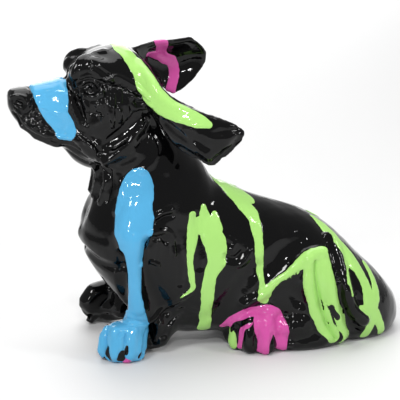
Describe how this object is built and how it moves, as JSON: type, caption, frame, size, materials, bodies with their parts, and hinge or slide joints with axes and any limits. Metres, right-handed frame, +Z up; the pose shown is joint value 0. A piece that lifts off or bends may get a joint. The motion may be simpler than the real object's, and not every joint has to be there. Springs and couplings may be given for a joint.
{
  "type": "ceramic dog figurine",
  "caption": "Seated hound figurine in black-glazed ceramic with poured coloured enamel runs, hollow torso and head, windswept ears and splayed paws.",
  "frame": {"origin": "centre of the footprint box, on the surface that the figurine sits on", "axes": "+Z up; the dog faces -X; its left side is towards -Y"},
  "size_m": [0.305, 0.1218, 0.233],
  "materials": {
    "black_glaze": "high-gloss black glaze with poured blue, green and magenta enamel runs"
  },
  "bodies": {
    "root": {"torso": "black_glaze", "head": "black_glaze", "left_ear": "black_glaze", "right_ear": "black_glaze", "left_foreleg": "black_glaze", "right_foreleg": "black_glaze", "left_hind_leg": "black_glaze", "right_hind_leg": "black_glaze", "tail": "black_glaze"}
  },
  "joints": []
}
